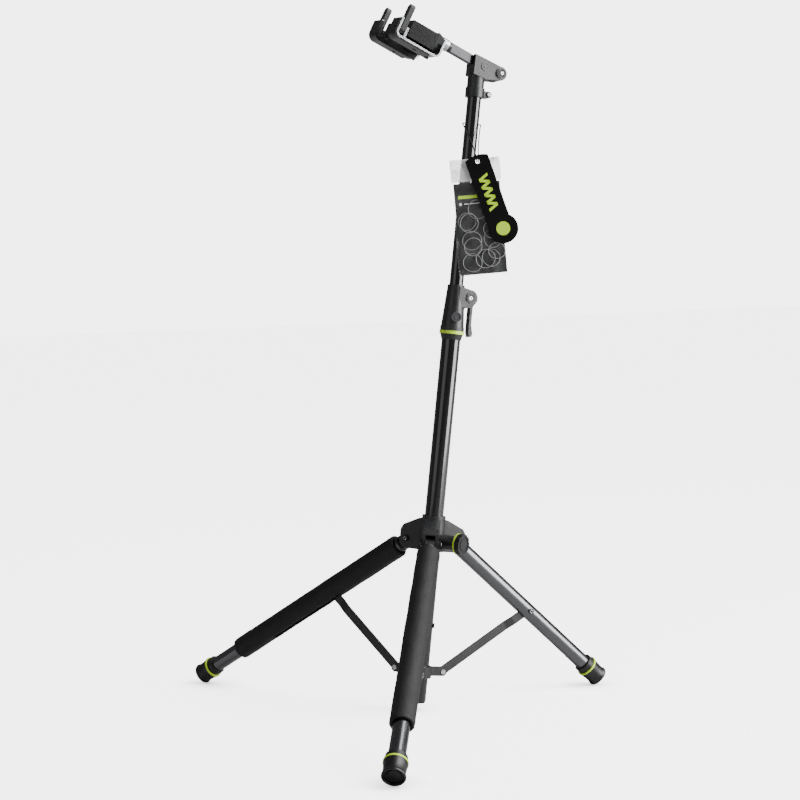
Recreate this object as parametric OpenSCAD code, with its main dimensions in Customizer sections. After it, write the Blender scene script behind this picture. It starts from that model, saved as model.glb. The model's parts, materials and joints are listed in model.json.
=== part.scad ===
// Folding tripod guitar stand with a height-adjustable mast and a self-closing neck yoke.
// Millimetres, +Z up, yoke opening towards -Y, origin on the floor under the middle of the feet.

/* [Tripod] */
// Height of the leg pivots above the floor, at the mast
hub_h = 269; // [240:1:300]
// Backward lean of the mast from vertical, in degrees
lean = 8; // [4:0.5:10]
// Angle between each leg and the mast when spread, in degrees
leg_open = 54.5; // [50:0.5:58]
// Angle between each leg and the mast when folded, in degrees
leg_folded = 5.5; // [5.5:0.5:12]
// Distance of the leg pivots from the mast axis
pivot_r = 42; // [41:0.5:46]
// Outside diameter of the leg tubes
leg_od = 25.4; // [24:0.1:26]
// Outside diameter of the foam sleeves
foam_od = 37; // [35:0.5:39]
// Bare length of a padded leg between its sleeve and its foot
leg_bare = 60.2; // [20:1:90]
// Outside diameter of the rubber feet
foot_od = 35; // [32:0.5:38]
// Length of the rubber feet
foot_len = 52; // [44:1:60]

/* [Mast] */
// Outside diameter of the lower mast tube
mast_od = 30; // [29:0.1:31]
// Outside diameter of the upper tube
upper_od = 22.2; // [21:0.1:23]
// Wall of every tube
wall = 1.5; // [1.2:0.1:2]
// Height of the lower mast tube's end above the floor
mast_clear = 15.5; // [10:0.5:30]
// Length of the lower mast tube below the brace collar's middle
collar_up = 46.9; // [20:0.1:60]
// Length of the lower mast tube above the leg pivots
mast_above = 345; // [330:1:380]
// Length of the upper tube that stands out above the lower mast tube
upper_out = 407; // [380:1:430]
// Length of the upper tube inside the lower mast tube
upper_in = 85; // [70:1:110]

/* [Head and yoke] */
// Upward tilt of the yoke arm from the mast's cross direction, in degrees
arm_tilt = 18; // [10:1:24]
// Length of the yoke arm from its fold pivot to the yoke
arm_len = 98; // [85:1:110]
// Turn of the yoke about its arm, in degrees
yoke_roll = 6; // [-10:1:10]
// Clear gap between the rubber faces of the two prongs
neck_gap = 50; // [46:1:56]
// Width of each prong
prong_w = 26; // [24:1:30]
// Length of each prong
prong_l = 82; // [76:1:90]
// Depth of the prong trays
tray_h = 32; // [28:1:36]
// Thickness of the yoke's metal strip
strip = 3; // [2.5:0.1:3.5]
// Length of the latch fingers above their pins
finger_h = 42; // [36:1:44]

/* [Fits] */
// Radial running clearance of sliding and turning pairs
run = 0.05; // [0.03:0.01:0.08]
// Radial clearance of bolts in their holes
bolt_gap = 0.1; // [0.1:0.05:0.2]
// Gap between parts that pass each other
pass = 0.3; // [0.3:0.05:0.5]
// Radius of the leg and brace bolts
bolt_r = 3; // [2.8:0.1:3.2]

/* [Hidden] */
$fn = 48;

far = 1000;
mast_r = mast_od / 2;
mast_ir = mast_r - wall;
upper_r = upper_od / 2;
leg_r = leg_od / 2;
leg_ir = leg_r - wall;
foot_r = foot_od / 2;
foot_flat = 1;

rear = 90;
left = 210;
right = -30;
knob_side = 30;
stop_side = 60;

function leg_dir(phi) = [
    cos(phi) * sin(leg_open),
    sin(phi) * cos(lean) * sin(leg_open) - sin(lean) * cos(leg_open),
    -sin(phi) * sin(lean) * sin(leg_open) - cos(lean) * cos(leg_open)
];
function pivot_y(phi) = pivot_r * sin(phi) * cos(lean);
function pivot_z(phi) = hub_h - pivot_r * sin(phi) * sin(lean);
// Distance along a leg from its pivot to the centre of its foot's ball
function ball_run(phi) = (pivot_z(phi) - foot_r + foot_flat) / -leg_dir(phi)[2];
function ball_y(phi) = pivot_y(phi) + leg_dir(phi)[1] * ball_run(phi);
function leg_len(phi) = ball_run(phi) + foot_r;
hub_y = -(ball_y(rear) + ball_y(left)) / 2;
mast_below = (hub_h - mast_clear) / cos(lean);
collar_at = collar_up - mast_below;
brace_at = -collar_at / 2 / cos(leg_open);

// Hub
hub_top = 42;
hub_low = -15;
hub_r = mast_r + 5;
cheek_in = 7.5;
cheek_t = 4.5;
cheek_end = 12;
hub_band = 11;
knob_boss_r = 12;
knob_at = 50;
knob_r = 16.8;
knob_t = 8.5;
knob_ring_t = 2.5;
bolt_head_r = 5.5;
bolt_head_t = 3.5;
bush_t = 1.6;

// Legs
eye_w = 2 * (cheek_in - pass);
eye_r = 11;
eye_len = 17;
tube_start = 20;
foam_start = 24;
plug_len = 25;
ring_at = 42;
ring_w = 2.8;
foot_waist = foot_r - 2.3;
brace_w = 14;
brace_t = 3;
brace_shift = 3;
slot_w = 9;
slot_back = 15;

// Mast foot
collar_r = mast_r + 5;
collar_half = 9;
pin_r = 2.5;
stop_at = collar_at + 75;

// Clutch
clutch_base = mast_above - 6;
clutch_flange = 7;
clutch_top = mast_above + 68;
clutch_low_r = mast_r + 3.4;
clutch_top_r = upper_r + 2.6;
trigger_v = upper_r + 8.9;
trigger_t = mast_above + 49;
trigger_hub_r = 8.2;
trigger_w = 11.4;
lug_t = 9.3;
lug_r = 13;
lug_in = trigger_w / 2 + pass;
axle_r = 4;
badge_r = 8;

// Head
head_low = mast_above + upper_out - 37;
head_top = mast_above + upper_out + 5;
head_r = upper_r + 2.6;
head_pv = 36.2;
head_pt = head_top + 0.8;
arm_w = 12;
arm_h = 14;
arm_eye_r = 10.5;
head_bolt_r = 4;
head_cheek_t = 8.2;
head_cheek_in = arm_w / 2 + pass;
spigot_r = 5;
spigot_len = 24;

// Yoke
yoke_at = arm_len;
boss_r = 9.5;
boss_len = 28;
tray_start = yoke_at + boss_len - strip;
tray_end = tray_start + prong_l;
tray_low = -6 - tray_h;
tray_bend = 9;
pad_t = 3;
prong_in = neck_gap / 2 + pad_t;
prong_out = prong_in + prong_w;
block_gap = 2;
block_start = tray_start + strip + 12;
block_end = tray_end - 20;
block_top = -3;
press_travel = 4;
stem_r = 3;
stem_in = 1.5;
finger_w = 14;
finger_t = 8;
finger_x = prong_out - 7;
finger_z = tray_low + strip + 10;
finger_s = tray_end - strip - 6;
latch_pin_r = 2;

// Tags
tag_turn = -26;
bag_n = 22.6;
bag_w = 80;
bag_h = 186;
bag_x = 25.6;
bag_z = mast_above + 178;
bag_tilt = 10.5;
bag_film = 0.5;
bag_deep = 4;
header_h = 36;
card_t = 0.6;
tag_n = 28;
tag_t = 1;
tag_tilt = 25;
tag_w = 38;
tag_len = 114;
tag_disc_r = 24;
hole_w = 14.2;
hole_t = mast_above + 265;
hole_r = 3.5;
cord_r = 1;
// Route of the hanging cord in stand coordinates
cord_route = [
    [33.5, 61.5, 872], [31.5, 63, 873], [28, 64.5, 873.5], [25.5, 66, 876.5],
    [22, 66, 885], [18, 64, 897.5], [13, 60.5, 912], [7.5, 57.5, 924.5],
    [1, 57, 932.5], [-6, 59.5, 936.5], [-12, 65, 937.5], [-14.5, 73, 937.5],
    [-12.5, 80, 936.5], [-7, 85, 935], [1, 86.5, 933.5], [9, 84, 932],
    [15, 79, 925.5], [19.5, 74.5, 912], [22, 71.5, 897], [24.5, 69.5, 884.5],
    [26.5, 68, 876], [29.5, 67, 873], [32.5, 65, 872.5], [34.5, 64, 871.5]
];

// Frames: each places its children on one member of the stand
module on_mast() {
    translate([0, hub_y, hub_h]) rotate([-lean, 0, 0]) children();
}
module on_side(phi) {
    on_mast() rotate([0, 0, phi]) children();
}
// +Z runs down the leg from its pivot, +X faces the brace
module on_leg(phi) {
    on_side(phi) translate([pivot_r, 0, 0]) rotate([0, 180 - leg_open, 0]) children();
}
// +Z runs down the brace from its bolt
module on_brace(phi) {
    on_side(phi)
        translate([pivot_r + brace_at * sin(leg_open), 0, -brace_at * cos(leg_open)])
            rotate([0, 180 + leg_open, 0]) children();
}
// -Y runs out along the yoke arm from its fold pivot
module on_arm() {
    on_mast() translate([0, head_pv, head_pt]) rotate([-arm_tilt, 0, 0]) children();
}
module on_yoke() {
    on_arm() rotate([0, yoke_roll, 0]) children();
}
module on_tag() {
    on_mast() rotate([0, 0, tag_turn]) children();
}
// Lays a flat outline drawn in (outwards, up) on a slab of the given thickness across it
module slab(t, y = 0) {
    translate([0, y, 0]) rotate([90, 0, 0]) translate([0, 0, -t / 2]) linear_extrude(t) children();
}
// The same for an outline drawn in (back, up), across X
module slab_x(t, x = 0) {
    translate([x - t / 2, 0, 0]) rotate([90, 0, 90]) linear_extrude(t) children();
}
module rod_y(r, len, y = 0) {
    translate([0, y, 0]) rotate([90, 0, 0]) cylinder(r = r, h = len, center = true);
}
module rod_x(r, len, x = 0) {
    translate([x, 0, 0]) rotate([0, 90, 0]) cylinder(r = r, h = len, center = true);
}
module pipe(outer, inner, low, high) {
    translate([0, 0, low]) difference() {
        cylinder(r = outer, h = high - low);
        translate([0, 0, -1]) cylinder(r = inner, h = high - low + 2);
    }
}

// Hub and its fasteners
module hub_cheek_outline() {
    polygon([[10, hub_low], [pivot_r + 6, hub_low], [pivot_r + cheek_end, -8],
             [pivot_r + cheek_end, 15], [pivot_r + 7, 23], [20, 36], [10, 38]]);
}
module hub_web_outline() {
    polygon([[10, 30], [20, 29], [pivot_r + 5, 18], [pivot_r + cheek_end, 13],
             [pivot_r + cheek_end, 15], [pivot_r + 7, 23], [20, 36], [10, 38]]);
}
module leg_hub() {
    bore = mast_r + run + bush_t;
    color("dimgray") on_mast() difference() {
        union() {
            translate([0, 0, hub_low]) cylinder(r = hub_r, h = hub_top - hub_band - hub_low);
            translate([0, 0, hub_top - hub_band]) cylinder(r = hub_r - 1, h = hub_band);
            for (phi = [rear, left, right]) rotate([0, 0, phi]) {
                for (side = [-1, 1]) slab(cheek_t, side * (cheek_in + cheek_t / 2)) hub_cheek_outline();
                slab(2 * (cheek_in + cheek_t)) hub_web_outline();
            }
            rotate([0, 0, knob_side]) translate([10, 0, 2]) rotate([0, 90, 0])
                cylinder(r = knob_boss_r, h = knob_at - 10 - pass);
        }
        translate([0, 0, hub_low - 1]) cylinder(r = bore, h = hub_top - hub_low + 2);
        for (phi = [rear, left, right]) rotate([0, 0, phi]) translate([pivot_r, 0, 0])
            rod_y(bolt_r + bolt_gap, 2 * (cheek_in + cheek_t) + 2);
        rotate([0, 0, knob_side]) translate([0, 0, 2]) rotate([0, 90, 0])
            cylinder(r = axle_r + run, h = knob_at + 2);
    }
}
module hub_bush() {
    color("black") on_mast() difference() {
        pipe(mast_r + run + bush_t, mast_r + run, hub_low, hub_top);
        rotate([0, 0, knob_side]) translate([0, 0, 2]) rotate([0, 90, 0])
            cylinder(r = axle_r + pass, h = knob_at);
    }
}
module bolt_head(r, t) {
    difference() {
        cylinder(r = r, h = t);
        translate([0, 0, t / 2]) cylinder(r = r * 0.5, h = t, $fn = 6);
    }
}
module hub_bolts() {
    reach = cheek_in + cheek_t;
    color("silver") for (phi = [rear, left, right]) on_side(phi) translate([pivot_r, 0, 0]) {
        turn = phi == left ? 180 : 0;
        rotate([0, 0, turn]) {
            rod_y(bolt_r, 2 * reach + 6, 3);
            translate([0, -reach, 0]) rotate([90, 0, 0]) bolt_head(bolt_head_r, bolt_head_t);
        }
    }
}
module hub_nuts() {
    reach = cheek_in + cheek_t;
    color("silver") for (phi = [rear, left, right]) on_side(phi) translate([pivot_r, 0, 0]) {
        turn = phi == left ? 180 : 0;
        rotate([0, 0, turn]) translate([0, reach + 5, 0]) rotate([90, 0, 0]) difference() {
            cylinder(r = bolt_head_r, h = 5, $fn = 6);
            translate([0, 0, -1]) cylinder(r = bolt_r, h = 7);
        }
    }
}
module on_knob() {
    on_side(knob_side) translate([knob_at, 0, 2]) rotate([0, 90, 0]) children();
}
module lock_knob() {
    lobes = 10;
    color("black") on_knob() difference() {
        union() {
            translate([0, 0, 0]) cylinder(r = knob_boss_r, h = knob_ring_t);
            translate([0, 0, knob_ring_t]) cylinder(r = knob_r, h = knob_t);
        }
        for (i = [0:lobes - 1]) rotate([0, 0, i * 360 / lobes])
            translate([knob_r + 1.4, 0, knob_ring_t + 2]) cylinder(r = 2.6, h = knob_t);
        translate([0, 0, knob_ring_t + knob_t - 1]) difference() {
            cylinder(r = knob_r - 4, h = 2);
            translate([0, 0, -1]) cylinder(r = knob_r - 7, h = 4);
        }
        translate([0, 0, -1]) cylinder(r = axle_r, h = knob_t);
    }
}
module knob_ring() {
    color("yellowgreen") on_knob() pipe(knob_r + 0.2, knob_boss_r + 0.02, 0, knob_ring_t);
}
module knob_screw() {
    color("silver") on_knob() translate([0, 0, mast_r + pass - knob_at])
        cylinder(r = axle_r, h = knob_at - mast_r - pass + knob_t - 1);
}

// Legs
// The slot in a leg or sleeve of radius r that its brace swings in, as far as the folded brace reaches
module brace_slot(r) {
    reach = (r + brace_w / 2 + 2) / sin(2 * leg_folded);
    translate([0, -slot_w / 2 + brace_shift / 2, brace_at - slot_back])
        cube([r + 1, slot_w, slot_back + reach]);
}
module leg_tube(phi) {
    on_leg(phi) difference() {
        pipe(leg_r, leg_ir, tube_start, leg_len(phi) - 20);
        brace_slot(leg_r);
        translate([0, 0, brace_at]) rod_y(bolt_r + bolt_gap, leg_od + 2);
    }
}
module leg_eye(phi) {
    color("dimgray") on_leg(phi) difference() {
        union() {
            rod_y(eye_r, eye_w);
            translate([-eye_r, -eye_w / 2, 0]) cube([2 * eye_r, eye_w, eye_len + 1]);
            translate([0, 0, eye_len]) cylinder(r = leg_r, h = tube_start - eye_len);
            translate([0, 0, eye_len]) cylinder(r = leg_ir, h = plug_len);
        }
        rod_y(bolt_r + run, eye_w + 2);
    }
}
module foot(phi) {
    end = leg_len(phi);
    color("black") difference() {
        on_leg(phi) difference() {
            union() {
                translate([0, 0, end - foot_len]) cylinder(r = foot_r - 1.5, h = foot_len - ring_at + 1);
                translate([0, 0, end - ring_at]) cylinder(r1 = foot_r, r2 = foot_waist, h = ring_at - foot_r);
                translate([0, 0, end - foot_r]) sphere(r = foot_r);
            }
            pipe(foot_r + 1, foot_r - 1.5, end - ring_at, end - ring_at + ring_w);
            translate([0, 0, end - foot_len - 1]) cylinder(r = leg_r, h = foot_len - 19);
        }
        translate([-far, -far, -far]) cube([2 * far, 2 * far, far]);
    }
}
module foot_ring(phi) {
    end = leg_len(phi);
    color("yellowgreen") on_leg(phi)
        pipe(foot_r + 0.6, foot_r - 1.5, end - ring_at, end - ring_at + ring_w);
}
module brace_bolt(phi) {
    turn = phi == left ? 180 : 0;
    color("silver") on_leg(phi) translate([0, 0, brace_at]) rotate([0, 0, turn]) {
        rod_y(bolt_r, leg_od);
        translate([0, -leg_r, 0]) rotate([90, 0, 0]) bolt_head(4.5, 2.5);
        translate([0, leg_r + 2.5, 0]) rotate([90, 0, 0]) cylinder(r = 4.5, h = 2.5, $fn = 6);
    }
}
module foam(phi) {
    color("black") on_leg(phi) difference() {
        pipe(foam_od / 2, leg_r, foam_start, leg_len(phi) - foot_len - leg_bare);
        brace_slot(foam_od / 2);
        translate([0, 0, brace_at]) rod_y(5.2, leg_od + 7);
    }
}
// A flat bar, joggled sideways near its leg end so that it misses the collar's lug
module brace(phi) {
    half = brace_t / 2;
    color("dimgray") on_brace(phi) difference() {
        intersection() {
            translate([-brace_w / 2, 0, 0]) rotate([90, 0, 90]) linear_extrude(brace_w)
                polygon([[-half, -brace_w], [half, -brace_w], [half, 30], [half + brace_shift, 46],
                         [half + brace_shift, brace_at + brace_w], [brace_shift - half, brace_at + brace_w],
                         [brace_shift - half, 46], [-half, 30]]);
            union() {
                rod_y(brace_w / 2, 20);
                translate([-brace_w / 2, -10, 0]) cube([brace_w, 20, brace_at]);
                translate([0, 0, brace_at]) rod_y(brace_w / 2, 20);
            }
        }
        rod_y(bolt_r + run, 20);
        translate([0, 0, brace_at]) rod_y(pin_r + run, 20);
    }
}
module leg_tube_rear() color("black") leg_tube(rear);
module leg_tube_left() color("black") leg_tube(left);
module leg_tube_right() color("black") leg_tube(right);

// Mast
module mast_tube() {
    color("black") on_mast() difference() {
        pipe(mast_r, mast_ir, -mast_below, mast_above);
        rotate([0, 0, stop_side]) translate([0, 0, stop_at]) rotate([0, 90, 0])
            cylinder(r = 2, h = mast_r + 2);
    }
}
module mast_plug() {
    color("black") on_mast() {
        translate([0, 0, -mast_below - 3]) cylinder(r1 = mast_r - 2, r2 = mast_r, h = 3);
        translate([0, 0, -mast_below]) cylinder(r = mast_ir, h = 14);
    }
}
module brace_collar() {
    lug_in_y = brace_shift - brace_t / 2 - pass;
    lug_out_y = brace_shift + brace_t / 2 + pass;
    color("dimgray") on_mast() translate([0, 0, collar_at]) difference() {
        union() {
            translate([0, 0, -collar_half]) cylinder(r = collar_r, h = 2 * collar_half);
            for (phi = [rear, left, right]) rotate([0, 0, phi])
                for (y = [lug_in_y - 3.2, lug_out_y]) {
                    translate([mast_r + 2, y, -brace_w / 2]) cube([pivot_r - mast_r - 2, 3.2, brace_w]);
                    translate([pivot_r, y + 1.6, 0]) rod_y(brace_w / 2, 3.2);
                }
        }
        translate([0, 0, -collar_half - 1]) cylinder(r = mast_r, h = 2 * collar_half + 2);
        for (phi = [rear, left, right]) rotate([0, 0, phi]) {
            translate([pivot_r, brace_shift, 0]) rod_y(pin_r + bolt_gap, 20);
            translate([pivot_r - brace_w / 2 - 2, lug_in_y, -20]) cube([20, lug_out_y - lug_in_y, 40]);
        }
    }
}
module collar_pins() {
    reach = brace_t / 2 + pass + 3.2;
    color("silver") on_mast() for (phi = [rear, left, right]) rotate([0, 0, phi])
        translate([pivot_r, brace_shift, collar_at]) {
            rod_y(pin_r, 2 * reach);
            for (side = [-1, 1]) rod_y(4, 1.6, side * (reach + 0.8));
        }
}
module stop_screw() {
    color("black") on_side(stop_side) translate([0, 0, stop_at]) rotate([0, 90, 0]) {
        cylinder(r = 2, h = mast_r);
        translate([0, 0, mast_r]) cylinder(r = 4, h = 2.4);
    }
}

// Clutch
module clutch_housing() {
    color("dimgray") on_mast() difference() {
        union() {
            translate([0, 0, clutch_base]) cylinder(r = clutch_low_r + 0.8, h = clutch_flange);
            translate([0, 0, clutch_base + clutch_flange - 0.01])
                cylinder(r1 = clutch_low_r, r2 = clutch_top_r, h = clutch_top - clutch_base - clutch_flange);
            for (side = [-1, 1]) slab_x(lug_t, side * (lug_in + lug_t / 2)) union() {
                polygon([[0, trigger_t - 16], [trigger_v + 5, trigger_t - 16], [trigger_v + lug_r, trigger_t],
                         [trigger_v, trigger_t + lug_r], [5, clutch_top - 3], [0, clutch_top - 3]]);
                translate([trigger_v, trigger_t]) circle(r = lug_r);
            }
        }
        translate([0, 0, clutch_base - 1]) cylinder(r = upper_r + run, h = far);
        translate([0, 0, clutch_base - 1]) cylinder(r = mast_r, h = mast_above - clutch_base + 1);
        translate([0, 0, mast_above + 4]) cylinder(r = upper_r + 3, h = 18);
        translate([-lug_in, upper_r + run, trigger_t - 14]) cube([2 * lug_in, 40, 60]);
        translate([0, trigger_v, trigger_t]) rod_x(axle_r + bolt_gap, 60);
        on_badge() cylinder(r = badge_r, h = 20);
    }
}
module on_badge() {
    rotate([0, 0, tag_turn + 14]) translate([clutch_low_r - 3, 0, mast_above + 16]) rotate([0, 90 - 4, 0]) children();
}
module clutch_cone() {
    color("black") on_mast() difference() {
        translate([0, 0, clutch_base - 14]) cylinder(r1 = mast_r + 0.8, r2 = mast_r + 3.2, h = 9);
        translate([0, 0, clutch_base - 15]) cylinder(r = mast_r, h = 12);
    }
}
module clutch_ring() {
    color("yellowgreen") on_mast()
        pipe(clutch_low_r + 1.4, mast_r, clutch_base - 5, clutch_base);
}
module clutch_brake() {
    color("silver") on_mast() for (z = [5, 11, 17])
        pipe(upper_r + 2.8, upper_r + run, mast_above + z, mast_above + z + 3);
}
module clutch_axle() {
    reach = lug_in + lug_t;
    color("dimgray") on_mast() translate([0, trigger_v, trigger_t]) {
        rod_x(axle_r, 2 * reach);
        for (side = [-1, 1]) rod_x(8, 1.6, side * (reach + 0.8));
    }
}
module clutch_badge() {
    color("silver") on_mast() on_badge() difference() {
        cylinder(r = badge_r, h = 4.4);
        translate([0, 0, 3.8]) difference() {
            cylinder(r = badge_r - 2, h = 2);
            translate([0, 0, -1]) cylinder(r = badge_r - 4, h = 4);
        }
    }
}
module clutch_trigger() {
    color("dimgray") on_mast() difference() {
        slab_x(trigger_w) union() {
            translate([trigger_v, trigger_t]) circle(r = trigger_hub_r);
            polygon([[trigger_v + 2, trigger_t + 8], [trigger_v + 8, trigger_t + 7], [trigger_v + 11, trigger_t - 4],
                     [trigger_v + 11, trigger_t - 42], [trigger_v + 14.5, trigger_t - 56],
                     [trigger_v + 13.5, trigger_t - 61], [trigger_v + 9, trigger_t - 62],
                     [trigger_v + 7, trigger_t - 54], [trigger_v + 6.6, trigger_t - 42],
                     [trigger_v + 6.6, trigger_t - 14], [trigger_v, trigger_t - 7]]);
        }
        translate([0, trigger_v, trigger_t]) rod_x(axle_r + run, 40);
    }
}

// Upper tube and head
module upper_tube() {
    color("black") on_mast() pipe(upper_r, upper_r - wall, mast_above - upper_in, mast_above + upper_out);
}
module tube_bush() {
    color("black") on_mast() translate([0, 0, mast_above - upper_in - 4]) {
        pipe(mast_ir - run, upper_r, 4, 24);
        pipe(mast_ir - run, upper_r - wall, 0, 4);
    }
}
module head_bracket() {
    width = 2 * (head_cheek_in + head_cheek_t);
    clamp_v = head_r + 8;
    clamp_t = head_low + 7;
    color("dimgray") on_mast() difference() {
        union() {
            translate([0, 0, head_low]) cylinder(r = head_r, h = head_top - head_low);
            translate([0, 0, head_low]) cylinder(r = head_r + 1.6, h = 15);
            translate([-7, 0, clamp_t - 5]) cube([14, clamp_v, 10]);
            translate([0, clamp_v, clamp_t]) rod_x(5.3, 14);
            slab_x(width) union() {
                polygon([[-11.5, head_pt + 24], [-12.5, head_pt - 8], [10, head_pt - 13], [head_pv, head_pt - 10.8],
                         [head_pv + 10, head_pt], [head_pv + 3.5, head_pt + 10]]);
                translate([head_pv, head_pt]) circle(r = 11);
            }
        }
        translate([0, 0, head_low - 1]) cylinder(r = upper_r, h = mast_above + upper_out - head_low + 1);
        translate([-1, 0, head_low - 1]) cube([2, 60, 17]);
        translate([0, clamp_v, clamp_t]) rod_x(2.5 + bolt_gap, 30);
        arm_slot();
        translate([0, head_pv, head_pt]) rod_x(head_bolt_r + bolt_gap, 60);
    }
}
// The slot between the cheeks that the arm lies in, open behind and above
module arm_slot() {
    function slot_floor(v) = head_pt + (head_pv - v) * tan(arm_tilt) - (arm_h / 2 + pass) / cos(arm_tilt);
    slot_front = -30;
    slot_step = head_pv - arm_eye_r - 5.7;
    slab_x(2 * head_cheek_in)
        polygon([[slot_front, slot_floor(slot_front)], [slot_step, slot_floor(slot_step)],
                 [slot_step, head_pt - 30], [head_pv + 40, head_pt - 30],
                 [head_pv + 40, head_pt + 60], [slot_front, head_pt + 60]]);
}
module clamp_screw() {
    color("silver") on_mast() translate([0, head_r + 8, head_low + 7]) {
        rod_x(2.5, 14);
        translate([7, 0, 0]) rotate([0, 90, 0]) bolt_head(4.2, 2.6);
        rod_x(4, 2.6, -8.3);
    }
}
module head_bolt() {
    reach = head_cheek_in + head_cheek_t;
    color("silver") on_mast() translate([0, head_pv, head_pt]) {
        rod_x(head_bolt_r, 2 * reach);
        for (side = [-1, 1]) {
            rod_x(9, 1.6, side * (reach + 0.8));
            translate([side * (reach + 3.1), 0, 0]) rotate([0, 90, 0])
                cylinder(r = 3.6, h = 3, center = true, $fn = 6);
        }
    }
}
module head_badge() {
    reach = head_cheek_in + head_cheek_t;
    color("silver") on_mast() translate([reach, 7, head_pt + 7]) rotate([0, 90, 0]) difference() {
        cylinder(r = 7, h = 1.2);
        translate([0, 0, 0.6]) difference() {
            cylinder(r = 5, h = 2);
            translate([0, 0, -1]) cylinder(r = 3.2, h = 4);
        }
    }
}
module yoke_arm() {
    color("dimgray") on_arm() difference() {
        union() {
            rod_x(arm_eye_r, arm_w);
            translate([-arm_w / 2, -arm_len + 6, -arm_h / 2]) cube([arm_w, arm_len - 6, arm_h]);
            translate([0, -arm_len + 6, 0]) rotate([90, 0, 0]) cylinder(r = 8.5, h = 6 - pass);
            translate([0, -arm_len + 1, 0]) rotate([90, 0, 0]) cylinder(r = spigot_r, h = spigot_len);
        }
        rod_x(head_bolt_r + run, arm_w + 2);
    }
}

// Yoke: one bent strip with two trays, carried on a round boss
module tray_profile(inset) {
    // Outline in (distance along the arm, up), rounded at its two lower corners
    low = tray_low + inset;
    a = tray_start + inset;
    b = tray_end - inset;
    bend = tray_bend - inset;
    translate([a, low + bend]) square([b - a, far]);
    translate([a + bend, low]) square([b - a - 2 * bend, bend + 1]);
    translate([a + bend, low + bend]) circle(r = bend);
    translate([b - bend, low + bend]) circle(r = bend);
}
module along_yoke(w, x) {
    // Draws an outline given in (distance along the arm, up) as a slab of width w at x
    translate([x - w / 2, 0, 0]) rotate([90, 0, 90]) mirror([1, 0, 0]) linear_extrude(w) children();
}
module tray_outline() {
    difference() {
        tray_profile(0);
        tray_profile(strip);
        translate([0, -8]) square([far, 2 * far]);
    }
}
module yoke_frame() {
    cheek = 4;
    color("lightgray") on_yoke() difference() {
        union() {
            for (side = [-1, 1]) {
                mid = side * (prong_in + prong_out) / 2;
                along_yoke(prong_w, mid) tray_outline();
                along_yoke(finger_w, side * finger_x)
                    translate([finger_s - finger_t / 2 - pass - cheek, tray_low + 1])
                        square([cheek, finger_z + 5 - tray_low]);
            }
            // Cross wall between the prongs
            translate([0, -tray_start, 0]) rotate([90, 0, 0]) linear_extrude(strip)
                polygon([[-prong_out, -8], [-prong_out, tray_low + tray_bend], [prong_out, tray_low + tray_bend],
                         [prong_out, -8], [16, 8], [-16, 8]]);
            translate([0, -yoke_at, 0]) rotate([90, 0, 0]) cylinder(r = boss_r, h = boss_len);
        }
        translate([0, -yoke_at + 1, 0]) rotate([90, 0, 0]) cylinder(r = spigot_r + run, h = spigot_len + 1);
        for (side = [-1, 1]) {
            translate([side * finger_x, -finger_s, finger_z]) rod_y(latch_pin_r + bolt_gap, 40);
            translate([side * (prong_in + prong_out) / 2, -(block_start + block_end) / 2, tray_low - 1])
                cylinder(r = stem_r + run, h = strip + 2);
        }
    }
}
module yoke_pads() {
    color("black") on_yoke() for (side = [-1, 1]) difference() {
        union() {
            // Rubber under and in front of the tray
            along_yoke(prong_w, side * (prong_in + prong_out) / 2) difference() {
                tray_profile(-pad_t);
                tray_profile(0);
                translate([0, -10]) square([far, 2 * far]);
                translate([0, tray_low - 50]) square([tray_start + 16, 200]);
            }
            // Rubber on the face towards the neck
            along_yoke(pad_t, side * (prong_in - pad_t / 2)) difference() {
                tray_profile(-pad_t);
                translate([0, -10]) square([far, 2 * far]);
                translate([0, tray_low - 50]) square([tray_start + 6, 200]);
                translate([block_end + 1, finger_z - finger_w / 2 - 1.5])
                    square([tray_end - strip - block_end - 1, 100]);
            }
        }
        translate([side * (prong_in + prong_out) / 2, -(block_start + block_end) / 2, tray_low - pad_t - 1])
            cylinder(r = stem_r + 0.4, h = pad_t + 2);
        translate([side * finger_x, -finger_s, finger_z]) rod_y(latch_pin_r + bolt_gap, 60);
    }
}
module press_block(side) {
    low = tray_low + strip + press_travel + 1;
    color("black") on_yoke() {
        along_yoke(prong_w - 2 * block_gap, side * (prong_in + prong_out) / 2) difference() {
            translate([block_start, low]) square([block_end - block_start, block_top - low]);
            polygon([[block_start - 1, block_top + 1], [block_start - 1, block_top - 2], [block_start + 5, block_top + 1]]);
        }
        translate([side * (prong_in + prong_out) / 2, -(block_start + block_end) / 2, tray_low + strip - stem_in])
            cylinder(r = stem_r, h = press_travel + stem_in + 4);
    }
}
module latch(side) {
    color("dimgray") on_yoke() difference() {
        translate([side * finger_x, -finger_s, finger_z]) slab(finger_t) union() {
            circle(r = finger_w / 2);
            translate([-finger_w / 2, 0]) square([finger_w, finger_h - finger_w / 2]);
            translate([0, finger_h - finger_w / 2]) circle(r = finger_w / 2);
        }
        translate([side * finger_x, -finger_s, finger_z]) rod_y(latch_pin_r + run, 40);
    }
}
module latch_pins() {
    start = finger_s - finger_t / 2 - pass - 4;
    color("silver") on_yoke() for (side = [-1, 1])
        translate([side * finger_x, -start, finger_z]) rotate([90, 0, 0])
            cylinder(r = latch_pin_r, h = tray_end - start);
}

// Hanging cord, tag and bag of spare rings
function unit(v) = v / norm(v);
function cord_tangent(i) =
    unit(cord_route[min(i + 1, len(cord_route) - 1)] - cord_route[max(i - 1, 0)]);
function cord_side(i) = unit(cross(cord_tangent(i), abs(cord_tangent(i)[2]) > 0.9 ? [1, 0, 0] : [0, 0, 1]));
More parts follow.
